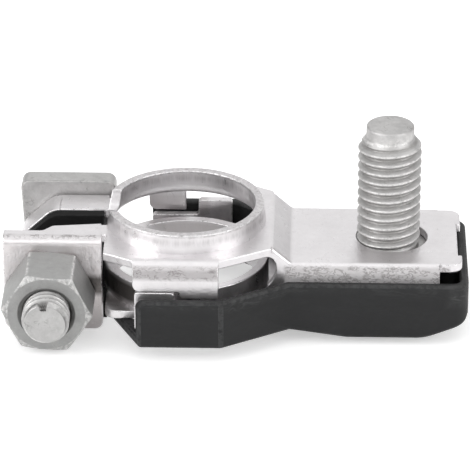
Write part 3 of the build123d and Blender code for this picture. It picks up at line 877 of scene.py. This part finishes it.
# Radius over height and angle: the least of the thread, whose crest climbs one pitch a turn,
# and the envelope of neck, shank, cone and dog point; the head's rows are widened to a hexagon.
def addStud(shape):
    half = shape["headFlats"] / 2
    neckTop = shape["threadStart"] - shape["rowStep"]
    foot = roundedPath(
        [
            (shape["centreRadius"], shape["headBottom"], 0, 1),
            (half, shape["headBottom"], shape["headRound"], 1),
            (half, shape["headTop"], shape["headRound"], 1),
            (shape["neckRadius"], shape["headTop"], shape["neckFootRound"], 0),
            (shape["neckRadius"], neckTop, shape["neckTopRound"], 0),
        ]
    )
    shankZ = np.arange(shape["threadStart"], shape["coneEnd"], shape["rowStep"])
    cone = (shankZ - shape["coneStart"]) / (shape["coneEnd"] - shape["coneStart"])
    cone = np.clip(cone, 0, 1) ** shape["conePower"]
    shankR = shape["radius"] - cone * (shape["radius"] - shape["dogRadius"])
    shank = np.stack([shankR, shankZ, np.zeros_like(shankZ), np.zeros_like(shankZ)], -1)
    top = roundedPath(
        [
            (shape["dogRadius"], shape["coneEnd"], 0, 0),
            (shape["dogRadius"], shape["tip"], shape["tipRound"], 0),
            (shape["centreRadius"], shape["tip"], 0, 0),
        ],
        steps=6,
    )
    rows = np.vstack([foot, shank, top])
    angle = cornerColumns(shape["sideColumns"])
    radius, height, hexShare = rows[:, 0][:, None], rows[:, 1][:, None], rows[:, 3][:, None]
    turns = (height - shape["crestAt"]) / shape["pitch"] - angle / (2 * np.pi)
    cut = threadCut(turns, shape["depth"], shape["crest"], shape["root"])
    threaded = (height >= shape["threadStart"]) & (height <= shape["coneEnd"])
    outline = np.where(threaded, np.minimum(radius, shape["radius"] - cut), radius)
    hexagon = hexagonFactor(angle, shape["headFlats"], shape["headCornerRound"])
    outline = outline * (1 + hexShare * (hexagon - 1))
    across, inward = outline * np.cos(angle), outline * np.sin(angle)
    grid = np.stack([shape["x"] + across, inward, height + 0 * angle], -1)
    poles = (shape["x"], 0, shape["headBottom"]), (shape["x"], 0, shape["tip"])
    deep = cut / shape["depth"]
    # Thread crests are worn and lightened, partly as a painted highlight
    edge = np.where(threaded, np.clip(1 - deep / shape["crestWornLit"], 0, 1), 0.0)
    # The thread roots are darker
    root = np.where(threaded, np.clip(deep - shape["rootFrom"], 0, 1) * shape["rootGain"], 0.0)
    mesh = closedSurface("threadedStud", grid, *poles, edge=edge, root=root)
    return addObject("threadedStud", mesh, studSteel, "stud_steel", "clamp", "cable_stud")


addStud(studShape)

# Clamping bolt: its flat head behind the rear ear, and a shank with an M6 thread
boltShape = {
    "x": -16.9,
    "z": -9.33,
    "left": -21.5,
    "right": -9.25,
    "top": -0.73,
    "bottom": -14.73,
    "front": 7.0,
    "back": 10.1,
    "corner": 1.2,
    "leastCorner": 0.05,
    "cornerSteps": 9,
    "lean": 0.055,
    "frontRound": 0.22,
    "backRound": 0.5,
    "crown": 0.12,
    "domeFrom": 2.0,
    "domeShare": 0.3,
    "domeRound": 0.8,
    "centre": 5.2,
    "wornLitIn": 0.25,
    "wornLitDeep": 0.3,
    "creaseAt": 0.1,
    "creaseWidth": 0.12,
    "creaseIn": 0.2,
    "creaseDark": 0.7,
    "radius": 2.98,
    "intoHead": 0.3,
    "pitch": 1.0,
    "depth": 0.5,
    "crest": 0.12,
    "root": 0.15,
    "phase": 0.35,
    "threadFrom": -3.0,
    "threadFade": 1.5,
    "tip": -16.2,
    "tipRadius": 2.55,
    "tipChamfer": 0.5,
    "tipRound": 0.16,
    "tipRings": (0.45, 0.5),
    "centreRadius": 0.3,
    "seam": 0.02,
    "crestWornLit": 0.1,
    "rootFrom": 0.4,
    "rootGain": 1.4,
    "notchAngle": 95.0,
    "notchWidth": 14.0,
    "notchLength": 1.1,
    "notchDepth": 0.7,
    "notchSide": 2.5,
    "notchEnd": 3,
    "notchRough": 0.2,
    "notchRipples": 63,
    "rowStep": 0.045,
    "columns": 120,
}


# A plate with a rounded outline: four corner arcs joined by straight sides. Each row across
# its thickness draws the outline in, as far as centre, and the back is a shallow dome. The
# left side leans.
def addBoltHead(shape):
    halfX = (shape["right"] - shape["left"]) / 2
    halfZ = (shape["top"] - shape["bottom"]) / 2
    middleX = (shape["right"] + shape["left"]) / 2
    middleZ = (shape["top"] + shape["bottom"]) / 2
    front, back = shape["front"], shape["back"]
    rows = roundedPath(
        [
            (shape["centre"], front, 0),
            (0.0, front, shape["frontRound"]),
            (0.0, back - shape["crown"], shape["backRound"]),
            (shape["domeFrom"], back - shape["domeShare"] * shape["crown"], shape["domeRound"]),
            (shape["centre"], back, 0),
        ],
        steps=5,
    )
    drawnIn, depth = rows[:, 0][:, None], rows[:, 1][:, None]
    quarter = np.linspace(0, np.pi / 2, shape["cornerSteps"])
    angle = (quarter[None, :] + np.arange(4)[:, None] * np.pi / 2).reshape(-1)
    side = np.repeat([[1, 1], [-1, 1], [-1, -1], [1, -1]], len(quarter), axis=0)
    corner = np.maximum(shape["corner"] - drawnIn, shape["leastCorner"])
    across = side[:, 0] * (halfX - drawnIn - corner) + corner * np.cos(angle)
    upward = side[:, 1] * (halfZ - drawnIn - corner) + corner * np.sin(angle)
    leftShare = np.clip(-across / halfX, 0, 1)
    across = across + shape["lean"] * (halfZ - upward) * leftShare
    grid = np.stack([middleX + across, depth + 0 * across, middleZ + upward], -1)
    poles = (middleX, front, middleZ), (middleX, back, middleZ)
    # The front's outer edge is worn and lightened, partly as a painted highlight
    outer = np.clip(1 - drawnIn / shape["wornLitIn"], 0, 1)
    edge = outer * np.clip(1 - (depth - front) / shape["wornLitDeep"], 0, 1) + 0 * across
    # The crease just behind the front is darker
    crease = np.clip(1 - np.abs(depth - front - shape["creaseAt"]) / shape["creaseWidth"], 0, 1)
    root = shape["creaseDark"] * crease * (drawnIn < shape["creaseIn"]) + 0 * across
    mesh = closedSurface("boltHead", grid, *poles, edge=edge, root=root)
    return addObject("boltHead", mesh, boltSteel, "bolt_steel", "bolt", "t_bolt")


# Radius over length and angle: the least of the shank and of a thread whose crest moves one
# pitch a turn, cut off by the chamfer at the tip.
def addBoltShank(shape):
    start, tip = shape["front"] + shape["intoHead"], shape["tip"]
    threaded = np.arange(shape["threadFrom"], tip + shape["tipChamfer"], -shape["rowStep"])
    along = np.concatenate([[start, shape["front"]], threaded])
    shank = np.stack([np.full_like(along, shape["radius"]), along], -1)
    end = roundedPath(
        [
            (shape["radius"], tip + shape["tipChamfer"] - shape["seam"], 0),
            (shape["tipRadius"], tip, shape["tipRound"]),
            (shape["centreRadius"], tip, 0),
        ],
        steps=5,
    )[:, :2]
    inside = shape["tipRadius"] - np.array(shape["tipRings"])
    flat = np.stack([inside, np.full(2, tip)], -1)
    rows = np.vstack([shank, end[:-1], flat, end[-1:]])
    outer = rows[:, 0][:, None] > inside[0]
    angle = np.linspace(0, 2 * np.pi, shape["columns"], endpoint=False)
    radius, length = rows[:, 0][:, None], rows[:, 1][:, None]
    fade = np.clip((shape["threadFrom"] - length) / shape["threadFade"], 0, 1)
    turns = (length - tip) / shape["pitch"] + angle / (2 * np.pi) + shape["phase"]
    cut = fade * threadCut(turns, shape["depth"], shape["crest"], shape["root"])
    outline = np.minimum(radius, shape["radius"] - cut)
    # The thread's end is torn out in a notch at the top
    offCentre = np.abs(np.degrees(angle) - shape["notchAngle"]) / shape["notchWidth"]
    inward = (length - tip) / shape["notchLength"]
    notch = np.clip(shape["notchSide"] * (1 - offCentre), 0, 1)
    notch = notch * np.clip(shape["notchEnd"] * (1 - inward), 0, 1)
    ripples = shape["notchRough"] * (np.sin(shape["notchRipples"] * angle) - 1)
    torn = shape["notchDepth"] * (1 + ripples)
    outline = np.where(outer, outline - notch * torn, outline)
    across, upward = outline * np.cos(angle), outline * np.sin(angle)
    grid = np.stack([shape["x"] + across, length + 0 * angle, shape["z"] + upward], -1)
    poles = (shape["x"], start, shape["z"]), (shape["x"], tip, shape["z"])
    # Where nothing is cut, on crests and plain shank, the colour is worn and lightened, partly as
    # a painted highlight
    wornLitBand = shape["crestWornLit"]
    edge = np.clip(1 - cut / wornLitBand, 0, 1) * (radius > shape["tipRadius"] - wornLitBand)
    # The thread roots and the torn notch are darker
    hollow = np.clip(cut / shape["depth"] - shape["rootFrom"], 0, 1)
    hollow = hollow * (radius > shape["radius"] - shape["seam"])
    root = np.maximum(shape["rootGain"] * hollow, np.where(outer, notch, 0))
    mesh = closedSurface("boltShank", grid, *poles, edge=edge, root=root)
    return addObject("boltShank", mesh, boltSteel, "bolt_steel", "bolt", "t_bolt")


addBoltHead(boltShape)
addBoltShank(boltShape)

# Clamping nut: turned corners at both ends, countersunk mouths and a thread inside
nutShape = {
    "x": -16.9,
    "z": -9.33,
    "back": -6.1,
    "front": -13.5,
    "flats": 10.0,
    "cornerRound": 0.22,
    "clock": -4.5,
    "faceRadius": 4.86,
    "slope": 0.55,
    "mouthRadius": 3.62,
    "mouthDepth": 0.55,
    "mouthRound": 0.06,
    "seam": 0.03,
    "bore": 3.04,
    "boreRim": 0.05,
    "pitch": 1.0,
    "depth": 0.45,
    "crest": 0.12,
    "root": 0.15,
    "phase": 0.35,
    "cornerWornLit": 0.05,
    "bevelReach": 0.02,
    "bevelWornLit": 0.6,
    "endBand": 0.62,
    "endRows": 14,
    "middleGap": 0.13,
    "middleRows": 5,
    "rowStep": 0.06,
    "sideColumns": 24,
}


# A closed band round the bolt's axis. Outside, the radius is the least of the hexagon and of a
# cone at each end; inside, the bore is widened by a thread that moves one pitch a turn.
def addNut(shape):
    back, front = shape["back"], shape["front"]
    thick = back - front
    end = np.linspace(0, shape["endBand"], shape["endRows"])
    inset = shape["endBand"] + shape["middleGap"]
    middle = np.linspace(inset, thick - inset, shape["middleRows"])
    deep = np.concatenate([end, middle, thick - end[::-1]])
    cone = shape["faceRadius"] + np.minimum(deep, thick - deep) / shape["slope"]
    outside = np.stack([cone, front + deep, np.ones_like(deep), np.zeros_like(deep)], -1)
    inner = np.arange(back - shape["mouthDepth"], front + shape["mouthDepth"], -shape["rowStep"])
    boreRadius = np.full_like(inner, shape["bore"])
    bore = np.stack([boreRadius, inner, np.zeros_like(inner), np.ones_like(inner)], -1)
    faceRadius = shape["faceRadius"] - shape["seam"]
    mouthBottom = shape["mouthDepth"] - shape["seam"]
    boreMouth = shape["bore"] + shape["boreRim"]
    backFace = roundedPath(
        [
            (faceRadius, back, 0, 0, 0),
            (shape["mouthRadius"], back, shape["mouthRound"], 0, 0),
            (boreMouth, back - mouthBottom, 0, 0, 0),
        ]
    )
    frontFace = roundedPath(
        [
            (boreMouth, front + mouthBottom, 0, 0, 0),
            (shape["mouthRadius"], front, shape["mouthRound"], 0, 0),
            (faceRadius, front, 0, 0, 0),
        ]
    )
    rows = np.vstack([outside, backFace[:, [0, 1, 3, 4]], bore, frontFace[:, [0, 1, 3, 4]]])
    angle = cornerColumns(shape["sideColumns"])
    radius, length, hexShare, threadShare = (rows[:, k][:, None] for k in range(4))
    hexagon = shape["flats"] / 2 * hexagonFactor(angle, shape["flats"], shape["cornerRound"])
    outline = np.where(hexShare > 0.5, np.minimum(radius, hexagon), radius)
    turns = (length - front) / shape["pitch"] + angle / (2 * np.pi) + shape["phase"]
    cut = threadCut(turns, shape["depth"], shape["crest"], shape["root"])
    outline = outline + threadShare * (shape["depth"] - cut)
    turned = angle + np.radians(shape["clock"] - 30)
    across, upward = outline * np.cos(turned), outline * np.sin(turned)
    grid = np.stack([shape["x"] + across, length + 0 * angle, shape["z"] + upward], -1)
    # Corners and the turned bevels are worn and lightened, partly as a painted highlight
    nearCorner = np.abs(angle % (np.pi / 3) - np.pi / 6) / shape["cornerWornLit"]
    bevelled = (hexShare > 0.5) & (radius < hexagon + shape["bevelReach"])
    wornLitBand = np.maximum(np.clip(1 - nearCorner, 0, 1), shape["bevelWornLit"] * bevelled)
    edge = np.where(hexShare > 0.5, wornLitBand, 0.0)
    # The whole bore is darker
    root = threadShare + 0 * angle
    mesh = closedSurface("hexagonNut", grid, edge=edge, root=root)
    return addObject("hexagonNut", mesh, nutSteel, "nut_steel", "nut", "clamp_nut")


addNut(nutShape)
print("stud, bolt and nut made")

# Studio: a pale floor under the lowest point, an even surround and soft lamps above
studio = {
    "surroundLow": 0.47,
    "surroundHigh": 0.76,
    "surroundTop": 0.85,
    "floorColor": (0.80, 0.80, 0.80),
    "floorGlow": 0.45,
    "floorShine": 0.30,
    "floorSpecular": 0.2,
    "floorRough": 0.9,
    "floorSize": 8,
    "target": (0.005, 0, -0.005),
    "lamps": [
        {"name": "topLamp", "place": (0.05, 0.0, 0.70), "size": 0.7, "power": 0.7},
        {"name": "backLamp", "place": (0.05, 0.85, 0.42), "size": 0.9, "power": 0.85},
        {"name": "rightLamp", "place": (0.75, -0.45, 0.45), "size": 0.5, "power": 2.6},
        {"name": "leftLamp", "place": (-0.70, -0.40, 0.40), "size": 0.5, "power": 3.2},
        {"name": "frontLamp", "place": (-0.05, -0.80, 0.55), "size": 0.5, "power": 0.9},
    ],
}


def addFloor(look, level):
    bpy.ops.mesh.primitive_plane_add(size=look["floorSize"], location=(0, 0, level))
    floor = bpy.context.object
    floor.name = "floor"
    material, tree, shader, _ = startMaterial("paleFloor", 0.0, look["floorSpecular"])
    shader.inputs["Roughness"].default_value = look["floorRough"]
    shader.inputs["Base Color"].default_value = (*look["floorColor"], 1)
    glow = tree.nodes.new("ShaderNodeEmission")
    rays = tree.nodes.new("ShaderNodeLightPath").outputs
    seen = mathNode(tree, "MULTIPLY", rays["Is Camera Ray"], look["floorGlow"])
    shine = mathNode(tree, "MULTIPLY", rays["Is Glossy Ray"], look["floorShine"])
    tree.links.new(mathNode(tree, "ADD", seen, shine), glow.inputs["Strength"])
    both = tree.nodes.new("ShaderNodeAddShader")
    tree.links.new(shader.outputs[0], both.inputs[0])
    tree.links.new(glow.outputs[0], both.inputs[1])
    tree.links.new(both.outputs[0], tree.nodes["Material Output"].inputs["Surface"])
    floor.data.materials.append(material)


def addWorld(look):
    world = bpy.data.worlds.new("studio")
    bpy.context.scene.world = world
    world.use_nodes = True
    tree = world.node_tree
    back = tree.nodes["Background"]
    back.inputs["Color"].default_value = (1, 1, 1, 1)
    split = tree.nodes.new("ShaderNodeSeparateXYZ")
    tree.links.new(tree.nodes.new("ShaderNodeTexCoord").outputs["Generated"], split.inputs[0])
    low, high = look["surroundLow"], look["surroundHigh"]
    limits = {"From Min": 0.0, "From Max": look["surroundTop"], "To Min": low, "To Max": high}
    climb = addNode(tree, "ShaderNodeMapRange", **limits)
    tree.links.new(split.outputs["Z"], climb.inputs["Value"])
    seen = tree.nodes.new("ShaderNodeLightPath").outputs["Is Camera Ray"]
    strength = mathNode(tree, "MAXIMUM", seen, climb.outputs["Result"])
    tree.links.new(strength, back.inputs["Strength"])


def addLamp(look, target):
    data = bpy.data.lights.new(look["name"], "AREA")
    data.energy = look["power"]
    data.size = look["size"]
    lamp = bpy.data.objects.new(look["name"], data)
    lamp.location = look["place"]
    aim = Vector(target) - lamp.location
    lamp.rotation_euler = aim.to_track_quat("-Z", "Y").to_euler()
    bpy.context.scene.collection.objects.link(lamp)


addFloor(studio, cadBox[0][2])
addWorld(studio)
for lampLook in studio["lamps"]:
    addLamp(lampLook, studio["target"])
bpy.context.scene.view_settings.view_transform = "Standard"
print("studio lit")
